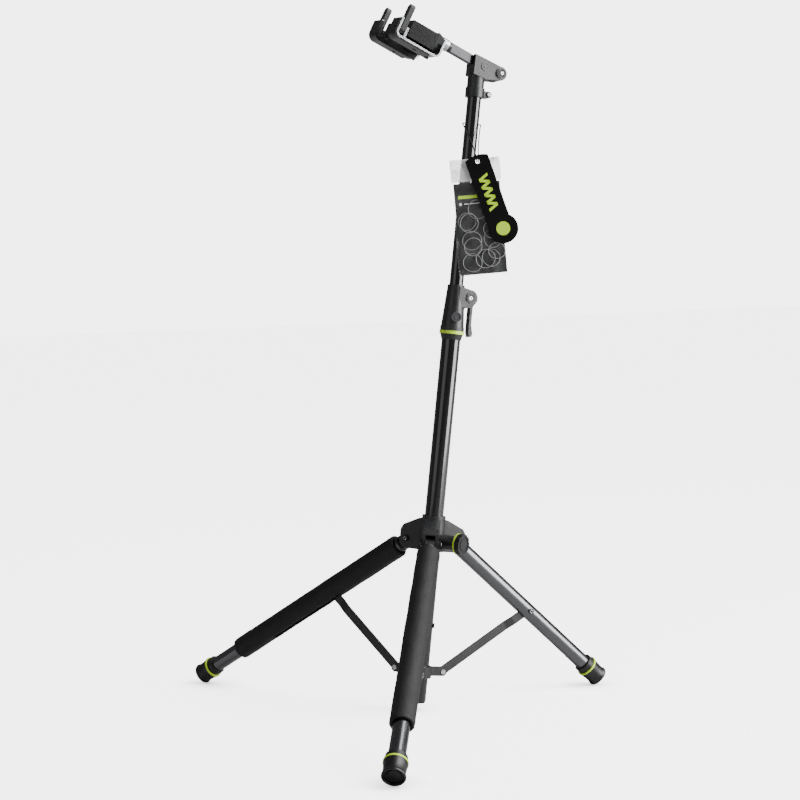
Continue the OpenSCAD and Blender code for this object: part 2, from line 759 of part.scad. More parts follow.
// Carries one side vector along the route, so that the tube doesn't twist
function carried(i) = i == 0 ? cord_side(0)
    : let (t = cord_tangent(i), s = carried(i - 1)) unit(s - t * (s * t));
module hang_cord() {
    sides = 8;
    rings = len(cord_route);
    frames = [for (i = [0:rings - 1]) [carried(i), cross(cord_tangent(i), carried(i))]];
    points = [for (i = [0:rings - 1]) for (k = [0:sides - 1])
        cord_route[i] + cord_r * (cos(k * 360 / sides) * frames[i][0] + sin(k * 360 / sides) * frames[i][1])];
    walls = [for (i = [0:rings - 2]) for (k = [0:sides - 1])
        [i * sides + k, (i + 1) * sides + k, (i + 1) * sides + (k + 1) % sides, i * sides + (k + 1) % sides]];
    first = [[for (k = [0:sides - 1]) k]];
    last = [[for (k = [sides - 1:-1:0]) (rings - 1) * sides + k]];
    color("black") polyhedron(points = points, faces = concat(walls, first, last));
}
module hang_tag() {
    color("black") on_tag() translate([tag_n, hole_w, hole_t]) rotate([90, 0, 90])
        rotate([0, 0, tag_tilt]) linear_extrude(tag_t) difference() {
            union() {
                intersection() {
                    translate([-tag_w / 2, -tag_len]) square([tag_w, tag_len + 20]);
                    translate([0, 10 - 40]) circle(r = 40, $fn = 96);
                }
                translate([-tag_w / 2, -tag_len]) square([tag_w, tag_len - 20]);
                translate([3, -tag_len]) circle(r = tag_disc_r);
            }
            circle(r = hole_r);
        }
}
module on_bag() {
    on_tag() translate([bag_n, bag_x, bag_z]) rotate([90, 0, 90]) rotate([0, 0, bag_tilt]) children();
}
module bag_hole(d) {
    on_tag() translate([bag_n - 1, hole_w, hole_t]) rotate([0, 90, 0]) cylinder(r = hole_r, h = d + 2);
}
module ring_bag() {
    pocket_h = bag_h - header_h;
    color("white", 0.4) difference() {
        on_bag() difference() {
            translate([-bag_w / 2, -bag_h / 2, 0]) cube([bag_w, pocket_h, bag_deep]);
            translate([-bag_w / 2 + 1.5, -bag_h / 2 + 1.5, bag_film])
                cube([bag_w - 3, pocket_h - 3, bag_deep - 2 * bag_film]);
        }
    }
    color("white", 0.4) difference() {
        on_bag() translate([-bag_w / 2, bag_h / 2 - header_h, bag_deep / 2 - 0.5]) cube([bag_w, header_h, 1]);
        bag_hole(bag_deep);
    }
}
module bag_card() {
    color("dimgray") on_bag()
        translate([-37, -bag_h / 2 + 2, bag_film]) cube([74, bag_h - header_h - 4, card_t]);
}
module spare_rings() {
    wire = 0.9;
    lift = 0.05;
    places = [[-18, -8], [-14, -45], [-17, -75], [13.5, -67], [18, -36.5], [20, -5.5], [-20, 24]];
    color("gray") on_bag() for (p = places)
        translate([p[0], p[1], bag_film + card_t + lift + wire]) rotate_extrude($fn = 36)
            translate([14, 0]) circle(r = wire, $fn = 16);
}

leg_hub();
hub_bush();
hub_bolts();
hub_nuts();
lock_knob();
knob_ring();
knob_screw();
leg_tube_rear();
leg_eye(rear);  // leg_eye_rear
foot(rear);  // foot_rear
foot_ring(rear);  // foot_ring_rear
brace_bolt(rear);  // brace_bolt_rear
brace(rear);  // brace_rear
leg_tube_left();
leg_eye(left);  // leg_eye_left
foot(left);  // foot_left
foot_ring(left);  // foot_ring_left
brace_bolt(left);  // brace_bolt_left
brace(left);  // brace_left
foam(left);  // foam_left
leg_tube_right();
leg_eye(right);  // leg_eye_right
foot(right);  // foot_right
foot_ring(right);  // foot_ring_right
brace_bolt(right);  // brace_bolt_right
brace(right);  // brace_right
foam(right);  // foam_right
mast_tube();
mast_plug();
brace_collar();
collar_pins();
stop_screw();
clutch_housing();
clutch_cone();
clutch_ring();
clutch_brake();
clutch_axle();
clutch_badge();
clutch_trigger();
upper_tube();
tube_bush();
head_bracket();
clamp_screw();
head_bolt();
head_badge();
hang_cord();
hang_tag();
ring_bag();
bag_card();
spare_rings();
yoke_arm();
yoke_frame();
yoke_pads();
press_block(-1);  // press_block_left
press_block(1);  // press_block_right
latch(-1);  // latch_left
latch(1);  // latch_right
latch_pins();
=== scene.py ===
"""Looks for the folding guitar stand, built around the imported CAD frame. Metres, +Z up."""
import json
import math

import bmesh
import bpy
from mathutils import Matrix, Vector, noise


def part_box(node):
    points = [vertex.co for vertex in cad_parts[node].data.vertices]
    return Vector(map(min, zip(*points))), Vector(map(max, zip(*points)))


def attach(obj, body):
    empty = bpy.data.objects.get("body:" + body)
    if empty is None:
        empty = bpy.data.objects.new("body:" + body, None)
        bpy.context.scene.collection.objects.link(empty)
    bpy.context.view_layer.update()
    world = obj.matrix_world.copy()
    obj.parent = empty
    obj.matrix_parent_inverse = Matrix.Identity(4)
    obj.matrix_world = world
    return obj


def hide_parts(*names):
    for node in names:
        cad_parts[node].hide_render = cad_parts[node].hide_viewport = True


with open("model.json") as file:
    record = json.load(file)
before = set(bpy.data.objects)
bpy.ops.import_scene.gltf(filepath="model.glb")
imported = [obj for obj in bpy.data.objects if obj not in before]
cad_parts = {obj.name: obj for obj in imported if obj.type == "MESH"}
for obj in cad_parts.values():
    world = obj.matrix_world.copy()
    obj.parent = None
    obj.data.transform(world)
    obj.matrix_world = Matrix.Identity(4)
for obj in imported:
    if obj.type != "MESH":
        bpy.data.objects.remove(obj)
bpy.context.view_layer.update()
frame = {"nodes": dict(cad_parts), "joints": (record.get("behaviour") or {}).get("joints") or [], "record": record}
nodes = frame["nodes"]
joints = {j["name"]: j for j in frame["joints"]}
MM = 0.001
scene = bpy.context.scene


# ---------------------------------------------------------------- camera
CAMERA_AT = (2.536, -1.287, 0.676)
CAMERA_AZIMUTH, CAMERA_PITCH, CAMERA_ROLL = 64.36, -3.60, -1.72
CAMERA_LENS, CAMERA_SENSOR = 80.06, 36


def make_camera():
    """The photograph's camera: 80 mm lens, slightly above the middle and rolled a little."""
    azimuth, pitch, roll = (math.radians(a) for a in (CAMERA_AZIMUTH, CAMERA_PITCH, CAMERA_ROLL))
    forward = Vector((-math.sin(azimuth) * math.cos(pitch), math.cos(azimuth) * math.cos(pitch),
                      math.sin(pitch)))
    level = Vector((math.cos(azimuth), math.sin(azimuth), 0))
    up = level.cross(forward)
    right = math.cos(roll) * level + math.sin(roll) * up
    top = -math.sin(roll) * level + math.cos(roll) * up
    data = bpy.data.cameras.new("camera")
    data.lens, data.sensor_width = CAMERA_LENS, CAMERA_SENSOR
    data.clip_start, data.clip_end = 0.05, 60
    cam = bpy.data.objects.new("camera", data)
    scene.collection.objects.link(cam)
    turn = Matrix((right, top, -forward)).transposed().to_4x4()
    cam.matrix_world = Matrix.Translation(CAMERA_AT) @ turn
    scene.camera = cam


make_camera()

# ---------------------------------------------------------------- the hanging cord
CORD_ROUTE = [
    (33.5, 61.5, 872), (31.5, 63, 873), (28, 64.5, 873.5), (25.5, 66, 876.5), (22, 66, 885),
    (18, 64, 897.5), (13, 60.5, 912), (7.5, 57.5, 924.5), (1, 57, 932.5), (-6, 59.5, 936.5),
    (-12, 65, 937.5), (-14.5, 73, 937.5), (-12.5, 80, 936.5), (-7, 85, 935), (1, 86.5, 933.5),
    (9, 84, 932), (15, 79, 925.5), (19.5, 74.5, 912), (22, 71.5, 897), (24.5, 69.5, 884.5),
    (26.5, 68, 876), (29.5, 67, 873), (32.5, 65, 872.5), (34.5, 64, 871.5),
]
CORD_DIAMETER = 0.002
cord_points = [Vector(p) * MM for p in CORD_ROUTE]


# ---------------------------------------------------------------- mesh helpers
def mesh_piece(name, verts, faces, weld=0.0, crease=None):
    """A smooth-shaded mesh object in stand coordinates, sharp at edges beyond the crease angle in degrees."""
    mesh = bpy.data.meshes.new(name)
    mesh.from_pydata([tuple(v) for v in verts], [], faces)
    piece = bpy.data.objects.new(name, mesh)
    scene.collection.objects.link(piece)
    work = bmesh.new()
    work.from_mesh(mesh)
    if weld:
        bmesh.ops.remove_doubles(work, verts=work.verts, dist=weld)
    bmesh.ops.recalc_face_normals(work, faces=work.faces)
    if crease:
        for edge in work.edges:
            edge.smooth = not (edge.is_manifold and edge.calc_face_angle() > math.radians(crease))
    work.to_mesh(mesh)
    work.free()
    for face in mesh.polygons:
        face.use_smooth = True
    return piece


def applied(piece):
    """Turns a piece's modifiers into its mesh."""
    bpy.context.view_layer.update()
    found = piece.evaluated_get(bpy.context.evaluated_depsgraph_get())
    mesh = bpy.data.meshes.new_from_object(found)
    piece.modifiers.clear()
    piece.data = mesh
    return piece


def modifier(piece, kind, **values):
    made = piece.modifiers.new(kind.lower(), kind)
    for key, value in values.items():
        setattr(made, key, value)
    return made


WELD, TURNED_CREASE = 1e-7, 32


def lathe(name, origin, axis, profile, turns=48):
    """A turned piece: profile is (radius, distance along axis) pairs in metres, closed on itself."""
    axis = Vector(axis).normalized()
    side = axis.orthogonal().normalized()
    other = axis.cross(side)
    verts, faces = [], []
    count = len(profile)
    for i in range(turns):
        angle = 2 * math.pi * i / turns
        out = side * math.cos(angle) + other * math.sin(angle)
        verts += [Vector(origin) + out * r + axis * d for r, d in profile]
    for i in range(turns):
        for k in range(count):
            a, b = i * count, (i + 1) % turns * count
            faces.append((a + k, b + k, b + (k + 1) % count, a + (k + 1) % count))
    return mesh_piece(name, verts, faces, weld=WELD, crease=TURNED_CREASE)


def extents(node, axis):
    """How far a CAD node reaches along an axis, as (low, high)."""
    along = [v.co.dot(axis) for v in nodes[node].data.vertices]
    return min(along), max(along)


def smooth_path(points, steps=6):
    """Extra points between the given ones, on a Catmull-Rom curve."""
    ends = [points[0] * 2 - points[1], *points, points[-1] * 2 - points[-2]]
    path = []
    for k in range(1, len(ends) - 2):
        p0, p1, p2, p3 = ends[k - 1:k + 3]
        for step in range(steps):
            t = step / steps
            path.append(0.5 * (2 * p1 + (p2 - p0) * t + (2 * p0 - 5 * p1 + 4 * p2 - p3) * t * t
                               + (3 * p1 - p0 - 3 * p2 + p3) * t ** 3))
    return path + [points[-1]]


def tube(name, path, radius, around, strands, groove):
    """A round tube along a path, capped at both ends, with strands that wind round it."""
    verts, faces = [], []
    side = (path[1] - path[0]).orthogonal().normalized()
    run = 0.0
    for k, spot in enumerate(path):
        along = (path[min(k + 1, len(path) - 1)] - path[max(k - 1, 0)]).normalized()
        side = (side - along * side.dot(along)).normalized()
        other = along.cross(side)
        run += (spot - path[k - 1]).length if k else 0
        for i in range(around):
            angle = 2 * math.pi * i / around
            twist = strands * angle + run / radius * 1.6
            r = radius * (1 - groove * (0.5 + 0.5 * math.sin(twist)))
            verts.append(spot + (side * math.cos(angle) + other * math.sin(angle)) * r)
    for k in range(len(path) - 1):
        for i in range(around):
            a, b = k * around, (k + 1) * around
            faces.append((a + i, a + (i + 1) % around, b + (i + 1) % around, b + i))
    faces.append(tuple(range(around - 1, -1, -1)))
    faces.append(tuple(range((len(path) - 1) * around, len(path) * around)))
    return mesh_piece(name, verts, faces)


# ---------------------------------------------------------------- materials
def material(name, colour, rough, metal=0.0, grain=900, bump=0.05, depth=0.0004, vary=0.25, rough_vary=0.12,
             stretch=(1, 1, 1), patches=35, specks=0.0, **sockets):
    """A surface with fine grain in its bump, broad patches in colour and roughness, and faint specks."""
    mat = bpy.data.materials.new(name)
    mat.use_nodes = True
    tree = mat.node_tree
    add, link = tree.nodes.new, tree.links.new
    shader = tree.nodes["Principled BSDF"]
    place = add("ShaderNodeTexCoord")
    mapping = add("ShaderNodeMapping")
    mapping.inputs["Scale"].default_value = stretch
    link(place.outputs["Object"], mapping.inputs["Vector"])

    fine = add("ShaderNodeTexNoise")
    fine.inputs["Scale"].default_value = grain
    fine.inputs["Detail"].default_value = 4
    link(mapping.outputs["Vector"], fine.inputs["Vector"])
    broad = add("ShaderNodeTexNoise")
    broad.inputs["Scale"].default_value = patches
    broad.inputs["Detail"].default_value = 5
    link(place.outputs["Object"], broad.inputs["Vector"])

    tint = add("ShaderNodeMix")
    tint.data_type = "RGBA"
    tint.inputs["A"].default_value = (*[c * (1 - vary) for c in colour], 1)
    tint.inputs["B"].default_value = (*[min(1, c * (1 + vary)) for c in colour], 1)
    mixed = add("ShaderNodeMath")
    mixed.operation = "MULTIPLY_ADD"
    mixed.inputs[1].default_value = 0.5
    half = add("ShaderNodeMath")
    half.operation = "MULTIPLY"
    half.inputs[1].default_value = 0.5
    link(fine.outputs["Fac"], half.inputs[0])
    link(broad.outputs["Fac"], mixed.inputs[0])
    link(half.outputs[0], mixed.inputs[2])
    link(mixed.outputs[0], tint.inputs["Factor"])
    colour_out = tint.outputs["Result"]
    if specks:
        dots = add("ShaderNodeTexVoronoi")
        dots.inputs["Scale"].default_value = 260
        link(place.outputs["Object"], dots.inputs["Vector"])
        keep = add("ShaderNodeMapRange")
        keep.inputs["From Min"].default_value = 0.10
        keep.inputs["From Max"].default_value = 0.04
        keep.inputs["To Max"].default_value = specks
        link(dots.outputs["Distance"], keep.inputs["Value"])
        dust = add("ShaderNodeMix")
        dust.data_type = "RGBA"
        dust.inputs["B"].default_value = (0.35, 0.34, 0.33, 1)
        link(keep.outputs["Result"], dust.inputs["Factor"])
        link(colour_out, dust.inputs["A"])
        colour_out = dust.outputs["Result"]
    link(colour_out, shader.inputs["Base Color"])

    spread = add("ShaderNodeMapRange")
    spread.inputs["From Min"].default_value, spread.inputs["From Max"].default_value = 0.3, 0.7
    spread.inputs["To Min"].default_value = max(0.02, rough - rough_vary)
    spread.inputs["To Max"].default_value = min(1, rough + rough_vary)
    link(mixed.outputs[0], spread.inputs["Value"])
    link(spread.outputs["Result"], shader.inputs["Roughness"])

    lift = add("ShaderNodeBump")
    lift.inputs["Strength"].default_value = bump
    lift.inputs["Distance"].default_value = depth
    link(fine.outputs["Fac"], lift.inputs["Height"])
    link(lift.outputs["Normal"], shader.inputs["Normal"])
    shader.inputs["Metallic"].default_value = metal
    for key, value in sockets.items():
        shader.inputs[key.replace("_", " ")].default_value = value
    return mat


looks = {
    "casting": material("casting", (0.009, 0.0093, 0.010), 0.38, grain=1500, bump=0.4, vary=0.3, specks=0.1,
                        Specular_IOR_Level=0.6),
    "gloss_tube": material("gloss_tube", (0.0025, 0.0025, 0.003), 0.17, grain=380, bump=0.03, vary=0.3,
                           rough_vary=0.05, specks=0.12, Coat_Weight=0.7, Coat_Roughness=0.06),
    "leg_tube": material("leg_tube", (0.15, 0.151, 0.158), 0.25, metal=1.0, grain=500, bump=0.02, vary=0.12,
                         rough_vary=0.05),
    "rubber": material("rubber", (0.003, 0.003, 0.0035), 0.42, grain=1900, bump=0.25, vary=0.35,
                       rough_vary=0.12, specks=0.06, Specular_IOR_Level=0.5),
    "pad_rubber": material("pad_rubber", (0.0022, 0.0022, 0.0025), 0.3, grain=1900, bump=0.12, vary=0.3,
                           rough_vary=0.08, Specular_IOR_Level=0.3),
    "foam": material("foam", (0.003, 0.003, 0.0035), 0.6, grain=1300, bump=0.9, depth=0.0006, vary=0.5,
                     specks=0.03, Specular_IOR_Level=0.4),
    "accent_ring": material("accent_ring", (0.55, 0.78, 0.03), 0.4, grain=700, bump=0.08, vary=0.08,
                            Subsurface_Weight=0.05),
    "brace_steel": material("brace_steel", (0.012, 0.0125, 0.0135), 0.38, grain=1100, bump=0.15, vary=0.25,
                            specks=0.12, Coat_Weight=0.3, Coat_Roughness=0.2),
    "arm_steel": material("arm_steel", (0.07, 0.07, 0.073), 0.34, metal=1.0, grain=700, bump=0.05,
                          vary=0.15),
    "dark_steel": material("dark_steel", (0.03, 0.03, 0.032), 0.3, metal=0.6, grain=1000, bump=0.1, vary=0.2),
    "black_plastic": material("black_plastic", (0.005, 0.005, 0.006), 0.42, grain=1500, bump=0.35, vary=0.3,
                              specks=0.15),
    "bright_steel": material("bright_steel", (0.62, 0.62, 0.63), 0.24, metal=1.0, grain=800, bump=0.08,
                             vary=0.12, rough_vary=0.1),
    "badge": material("badge", (0.05, 0.05, 0.053), 0.35, metal=0.3, grain=1200, bump=0.15, vary=0.2),
    "yoke_metal": material("yoke_metal", (0.60, 0.61, 0.63), 0.27, metal=1.0, grain=420, bump=0.1, vary=0.1,
                           rough_vary=0.09, stretch=(1, 9, 9)),
    "cord": material("cord", (0.003, 0.003, 0.0035), 0.85, grain=2600, bump=1.0, depth=0.0006, vary=0.5),
    "tag_card": material("tag_card", (0.0012, 0.0012, 0.0013), 0.6, grain=1700, bump=0.12, vary=0.2,
                         specks=0.04, Specular_IOR_Level=0.12),
    "ring_rubber": material("ring_rubber", (0.20, 0.20, 0.205), 0.3, grain=1500, bump=0.2, vary=0.2,
                            Coat_Weight=0.3, Coat_Roughness=0.2),
}
slots = {s["node"]: s["material_slot"] for s in frame["record"]["subparts"]}


def paint(piece, mat):
    piece.data.materials.clear()
    piece.data.materials.append(mat)


# ---------------------------------------------------------------- CAD nodes' materials
OWN_LOOKS = {
    "casting": ["head_bolt", "clutch_axle"],
    "dark_steel": ["clamp_screw", "hub_bolts", "hub_nuts", "brace_bolt_rear", "brace_bolt_left",
                   "brace_bolt_right"],
    "arm_steel": ["yoke_arm"],
    "pad_rubber": ["yoke_pads", "press_block_left", "press_block_right"],
}
look_of = dict(slots)
look_of.update({node: look for look, listed in OWN_LOOKS.items() for node in listed})
for name, node in nodes.items():
    if look_of[name] in looks:
        paint(node, looks[look_of[name]])

# ---------------------------------------------------------------- the cord's piece
cord_path = smooth_path(cord_points)
cord = tube("hanging_cord", cord_path, CORD_DIAMETER / 2, around=18, strands=3, groove=0.12)
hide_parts("hang_cord")
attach(cord, "upper")
paint(cord, looks["cord"])


# ---------------------------------------------------------------- foam sleeves
FOAM_VOXEL = 0.0019
DENTS, DENT_DEPTH = 38, 0.00045
PORES, PORE_DEPTH = 260, 0.00022


def foam_sleeve(side):
    """The sleeve's own solid, remeshed so its edges soften, then given the uneven skin of cut foam."""
    source = nodes["foam_" + side]
    piece = bpy.data.objects.new("foam_sleeve_" + side, source.data.copy())
    scene.collection.objects.link(piece)
    modifier(piece, "REMESH", mode="VOXEL", voxel_size=FOAM_VOXEL, use_smooth_shade=True)
    modifier(piece, "SMOOTH", factor=0.6, iterations=6)
    applied(piece)
    for vert, normal in [(v, v.normal.copy()) for v in piece.data.vertices]:
        broad = noise.noise(vert.co * DENTS)
        fine = noise.noise(vert.co * PORES)
        vert.co += normal * (DENT_DEPTH * broad + PORE_DEPTH * fine)
    for face in piece.data.polygons:
        face.use_smooth = True
    paint(piece, looks["foam"])
    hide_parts("foam_" + side)
    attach(piece, side + "_leg")


for side in ("left", "right"):
    foam_sleeve(side)

# ---------------------------------------------------------------- feet
# The middle of a CAD foot's ball end, above the floor, and the foot's radii
FOOT_BALL = 0.0165
FOOT_BORE, FOOT_SLEEVE, FOOT_LIP = 0.01275, 0.0161, 0.0176
LIP_SETTLE = 0.0008


def rubber_foot(leg):
    """A moulded foot: a sleeve over the tube, a slight waist, and a flared lip that meets the floor."""
    rest = next(m for m in frame["record"]["mounts"] if m["name"] == leg + "_foot_rest")
    ball = Vector(rest["pos_m"]) + Vector((0, 0, FOOT_BALL))
    axis = (ball - Vector(joints[leg + "_leg_fold"]["pos_m"])).normalized()
    ring_low, ring_high = (d - ball.dot(axis) for d in extents("foot_ring_" + leg, axis))
    top = extents("foot_" + leg, axis)[0] - ball.dot(axis)
    drop = -axis.z
    end = (FOOT_BALL - FOOT_LIP * math.sqrt(1 - drop * drop)) / drop + LIP_SETTLE
    sleeve = [(FOOT_BORE, top), (0.0156, top), (FOOT_SLEEVE, top + 0.0006), (FOOT_SLEEVE, ring_low),
              (0.0160, ring_low + 0.0001), (FOOT_SLEEVE, ring_high)]
    waist = [(0.0174, ring_high + 0.0001), (0.0172, ring_high + 0.004), (0.0164, ring_high + 0.011),
             (0.0161, end - 0.0065)]
    lip = [(0.0164, end - 0.0052), (0.0171, end - 0.0040), (FOOT_LIP, end - 0.0026), (FOOT_LIP, end - 0.0012),
           (0.0172, end - 0.0003), (0.0166, end), (0.0152, end), (0.0148, end - 0.0006)]
    hollow = [(0.0140, end - 0.0050), (0.0095, end - 0.0062), (0.0090, end - 0.0045), (0.0, end - 0.0040)]
    bore = [(0.0, end - 0.0100), (FOOT_BORE, end - 0.0100)]
    profile = sleeve + waist + lip + hollow + bore
    piece = lathe("rubber_foot_" + leg, ball, axis, profile, turns=72)
    paint(piece, looks["rubber"])
    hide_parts("foot_" + leg)
    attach(piece, leg + "_leg")


for leg in ("rear", "left", "right"):
    rubber_foot(leg)


# ---------------------------------------------------------------- turned rings on the ends of bolts and axles
PIN_REACH = 0.010
RING_ROOT = -0.8


def pin_rings(name, node, body, centre, axis, rings):
    """Raised rings on both ends of a pin: each ring is (inner, outer, height, look) in millimetres."""
    centre, axis = Vector(centre), Vector(axis).normalized()
    near = [v.co - centre for v in nodes[node].data.vertices]
    along = [r.dot(axis) for r in near if (r - axis * r.dot(axis)).length < PIN_REACH]
    for side, out, reach in (("a", axis, max(along)), ("b", -axis, -min(along))):
        for index, (inner, outer, height, look) in enumerate(rings):
            soft = min(0.25, (outer - inner) / 4)
            profile = [(inner, RING_ROOT), (inner, height - soft), (inner + soft, height),
                       (outer - soft, height), (outer, height - soft), (outer, RING_ROOT)]
            ring = lathe(f"{name}_ring_{side}{index}", centre + out * reach, out,
                         [(r * MM, d * MM) for r, d in profile])
            paint(ring, looks[look])
            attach(ring, body)


def middle_of(node):
    low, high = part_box(node)
    return (low + high) / 2


ACROSS = (1, 0, 0)
pin_rings("clutch_axle", "clutch_axle", "mast", middle_of("clutch_axle"), ACROSS,
          [(5.4, 6.8, 0.7, "casting"), (1.3, 3.2, 0.6, "bright_steel")])
pin_rings("head_bolt", "head_bolt", "upper", middle_of("head_bolt"), ACROSS,
          [(5.4, 6.8, 0.7, "casting"), (1.2, 2.6, 0.6, "bright_steel")])
pin_rings("clamp_screw", "clamp_screw", "upper", middle_of("clamp_screw"), ACROSS,
          [(1.2, 2.4, 0.3, "bright_steel")])
for leg in ("rear", "left", "right"):
    pivot, fold = joints[leg + "_leg_fold"], joints[leg + "_brace_fold"]
    pin_rings(leg + "_pivot", "hub_bolts", "hub", pivot["pos_m"], pivot["axis"],
              [(1.8, 2.9, 0.4, "bright_steel")])
    pin_rings(leg + "_brace", "brace_bolt_" + leg, leg + "_leg", fold["pos_m"], fold["axis"],
              [(1.5, 2.6, 0.4, "bright_steel")])

# ---------------------------------------------------------------- frames of the mast, the tag and the bag
MAST_UP = Vector(joints["mast_height"]["axis"]).normalized()
MAST_BACK = MAST_UP.cross(Vector((1, 0, 0)))
TAG_TURN = math.radians(-26)
FACE = Vector((1, 0, 0)) * math.cos(TAG_TURN) + MAST_BACK * math.sin(TAG_TURN)
SIDE = MAST_BACK * math.cos(TAG_TURN) - Vector((1, 0, 0)) * math.sin(TAG_TURN)


class Flat:
    """A flat piece's own frame, from its CAD node's box: a across it, b up it and n out of it."""

    def __init__(self, node, tilt, a_high, b_high):
        tilt = math.radians(tilt)
        self.a = SIDE * math.cos(tilt) + MAST_UP * math.sin(tilt)
        self.b = MAST_UP * math.cos(tilt) - SIDE * math.sin(tilt)
        self.n = FACE
        self.origin = (self.a * (extents(node, self.a)[1] - a_high * MM)
                       + self.b * (extents(node, self.b)[1] - b_high * MM)
                       + self.n * extents(node, self.n)[0])

    def at(self, a, b, n=0.0):
        return self.origin + (self.a * a + self.b * b + self.n * n) * MM


TAG_W, TAG_LEN, TAG_DISC, TAG_DISC_A, TAG_T = 38, 114, 24, 3, 1.0
tag = Flat("hang_tag", 25, a_high=TAG_DISC_A + TAG_DISC, b_high=10)
BAG_W, BAG_H, BAG_DEEP, HEADER_H = 80, 186, 4, 36
bag = Flat("ring_bag", 10.5, a_high=BAG_W / 2, b_high=BAG_H / 2)


# ---------------------------------------------------------------- hang tag
def tag_outline(steps=64):
    """The tag's edge: a strip with a rounded top, running into a round disc at the bottom."""
    half, disc = TAG_W / 2, TAG_DISC
    points = []
    top = -30
    radius = 40
    reach = math.degrees(math.asin(half / radius))
    for k in range(17):
        angle = math.radians(90 - reach + 2 * reach * k / 16)
        points.append((radius * math.cos(angle), top + radius * math.sin(angle)))
    meet_left = math.asin((half + TAG_DISC_A) / disc)
    meet_right = math.asin((half - TAG_DISC_A) / disc)
    start, stop = math.pi / 2 + meet_left, 2.5 * math.pi - meet_right
    for k in range(steps + 1):
        angle = start + (stop - start) * k / steps
        points.append((TAG_DISC_A + disc * math.cos(angle), -TAG_LEN + disc * math.sin(angle)))
    return points


def tag_bend(b):
    """The card curls a little between its hole and its foot."""
    share = -b / TAG_LEN
    return 0.5 * math.sin(math.pi * min(1, max(0, share)))


def card(name, frame_of, outline, low, high, bend, hole=None, rows=40):
    """A thin card cut from an outline, filled by a fine grid so that it can bend."""
    work = bmesh.new()
    ring = [work.verts.new((a, b, 0)) for a, b in outline]
    edges = [work.edges.new((ring[k], ring[(k + 1) % len(ring)])) for k in range(len(ring))]
    if hole:
        a0, b0, r = hole
        turns = [k * math.pi / 12 for k in range(24)]
        loop = [work.verts.new((a0 + r * math.cos(turn), b0 + r * math.sin(turn), 0)) for turn in turns]
        edges += [work.edges.new((loop[k], loop[(k + 1) % 24])) for k in range(24)]
    bmesh.ops.triangle_fill(work, use_beauty=True, use_dissolve=False, edges=edges)
    b_low = min(b for _, b in outline)
    b_high = max(b for _, b in outline)
    for k in range(1, rows):
        level = b_low + (b_high - b_low) * k / rows
        bmesh.ops.bisect_plane(work, geom=work.verts[:] + work.edges[:] + work.faces[:], dist=1e-5,
                               plane_co=(0, level, 0), plane_no=(0, 1, 0))
    front = bmesh.ops.extrude_face_region(work, geom=work.faces[:])["geom"]
    lifted = {v for v in front if isinstance(v, bmesh.types.BMVert)}
    for v in work.verts:
        n = high if v in lifted else low
        v.co = frame_of.at(v.co.x, v.co.y, n + bend(v.co.y))
    bmesh.ops.recalc_face_normals(work, faces=work.faces)
    mesh = bpy.data.meshes.new(name)
    work.to_mesh(mesh)
    work.free()
    piece = bpy.data.objects.new(name, mesh)
    scene.collection.objects.link(piece)
    return piece


def finish_card(piece, mat):
    paint(piece, mat)
    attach(piece, "upper")


lime_print = material("lime_print", (0.50, 0.78, 0.02), 0.42, grain=900, bump=0.06, vary=0.06)
white_print = material("white_print", (0.75, 0.75, 0.75), 0.5, grain=900, bump=0.05, vary=0.06)
tag_piece = card("tag_card", tag, tag_outline(), 0, TAG_T - 0.15, tag_bend, hole=(0, 0, 3.5))
modifier(tag_piece, "BEVEL", width=0.00012, segments=2, limit_method="ANGLE")
applied(tag_piece)
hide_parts("hang_tag")
finish_card(tag_piece, looks["tag_card"])


def oval(a0, b0, ra, rb, steps=32):
    return [(a0 + ra * math.cos(2 * math.pi * k / steps), b0 + rb * math.sin(2 * math.pi * k / steps))
            for k in range(steps)]


def bar(a0, b0, a1, b1, w):
    """A straight stripe with square ends."""
    along = Vector((a1 - a0, b1 - b0)).normalized() * (w / 2)
    return [(a0 - along.y, b0 + along.x), (a0 + along.y, b0 - along.x),
            (a1 + along.y, b1 - along.x), (a1 - along.y, b1 + along.x)]


PRINT_LOW, PRINT_HIGH = TAG_T - 0.16, TAG_T - 0.08


def zigzag(low, high, reach, width, turns):
    """A band that swings from side to side up the tag."""
    middle = [(reach * (-1) ** k, high + (low - high) * k / turns) for k in range(turns + 1)]
    lift = width / 2 * math.hypot(2 * reach, (high - low) / turns) / (2 * reach)
    return [(a, b + lift) for a, b in middle] + [(a, b - lift) for a, b in reversed(middle)]


finish_card(card("tag_band", tag, zigzag(-80, -24, 8, 4.2, 9), PRINT_LOW, PRINT_HIGH, tag_bend, rows=16),
            lime_print)
finish_card(card("tag_dot", tag, oval(TAG_DISC_A, -TAG_LEN, 11, 11, 48), PRINT_LOW, PRINT_HIGH, tag_bend,
                 rows=8), lime_print)


# ---------------------------------------------------------------- bag, its card and its rings
def film_look(name, low, high, shade):
    """Thin plastic film: partly see-through, with cloudy creases and a glossy face."""
    mat = material(name, shade, 0.16, grain=240, bump=0.25, depth=0.0012, vary=0.04, rough_vary=0.08,
                   patches=60)
    tree = mat.node_tree
    place = tree.nodes.new("ShaderNodeTexCoord")
    cloud = tree.nodes.new("ShaderNodeTexNoise")
    cloud.inputs["Scale"].default_value, cloud.inputs["Detail"].default_value = 55, 6
    reach = tree.nodes.new("ShaderNodeMapRange")
    reach.inputs["From Min"].default_value, reach.inputs["From Max"].default_value = 0.42, 0.75
    reach.inputs["To Min"].default_value, reach.inputs["To Max"].default_value = low, high
    tree.links.new(place.outputs["Object"], cloud.inputs["Vector"])
    tree.links.new(cloud.outputs["Fac"], reach.inputs["Value"])
    tree.links.new(reach.outputs["Result"], tree.nodes["Principled BSDF"].inputs["Alpha"])
    return mat


